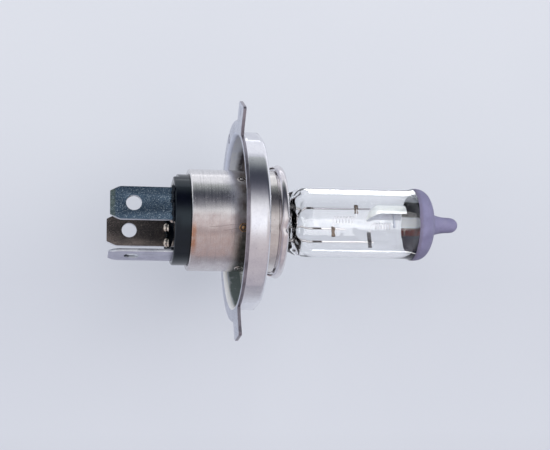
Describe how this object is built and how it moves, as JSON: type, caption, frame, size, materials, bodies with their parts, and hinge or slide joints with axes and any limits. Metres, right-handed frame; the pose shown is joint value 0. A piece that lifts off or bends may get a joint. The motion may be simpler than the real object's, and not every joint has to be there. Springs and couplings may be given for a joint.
{
  "type": "headlight bulb",
  "caption": "Twin-filament halogen headlight bulb with a three-lug locating ring, blade terminals in a U and a painted glare cap on a clear tube.",
  "frame": {"origin": "on the lamp axis, in the plane of the glass-side faces of the three locating lugs", "axes": "+X along the lamp axis to the glass tip; -Z through the main locating lug; +Y completes the frame. The plug blades' open side points at 17 degrees from -Y towards +Z"},
  "size_m": [0.0865, 0.057, 0.0513],
  "materials": {
    "ring_steel": "nickel-plated pressed steel, satin",
    "collar_steel": "nickel-plated pressed steel",
    "retainer_steel": "nickel-plated pressed steel",
    "barrel_steel": "nickel-plated steel tube, faint vertical brushing and heat tint",
    "weld_steel": "heat-tinted weld nuggets",
    "insulator_plastic": "black moulded plastic, satin",
    "terminal_metal": "tin-plated blade stock, dull and speckled",
    "stake_metal": "staked beads",
    "quartz_glass": "clear quartz",
    "cap_paint": "matte blue-violet grey paint",
    "foil_metal": "molybdenum foil",
    "lead_metal": "plated wire",
    "support_metal": "molybdenum wire",
    "clamp_metal": "heat-browned metal",
    "shield_metal": "bright pressed molybdenum",
    "filament_tungsten": "tungsten wire"
  },
  "bodies": {
    "root": {"flange_ring": "ring_steel", "flange_collar": "collar_steel", "retainer_ring": "retainer_steel", "retainer_tabs": "retainer_steel", "base_barrel": "barrel_steel", "barrel_weld_spots": "weld_steel", "insulator": "insulator_plastic", "terminal_common": "terminal_metal", "terminal_high_beam": "terminal_metal", "terminal_low_beam": "terminal_metal", "terminal_stakes": "stake_metal", "pinch_clamp": "retainer_steel", "glass_envelope": "quartz_glass", "glare_cap": "cap_paint", "foil_common": "foil_metal", "foil_high_beam": "foil_metal", "foil_low_beam": "foil_metal", "lead_common": "lead_metal", "lead_high_beam": "lead_metal", "lead_low_beam": "lead_metal", "support_wire_common": "support_metal", "support_wire_high_beam": "support_metal", "support_wire_low_beam": "support_metal", "high_beam_rear_clamp": "clamp_metal", "high_beam_front_clamp": "clamp_metal", "low_beam_rear_clamp": "clamp_metal", "low_beam_front_strap": "clamp_metal", "glare_shield": "shield_metal", "filament_high_beam": "filament_tungsten", "filament_low_beam": "filament_tungsten"}
  },
  "joints": []
}
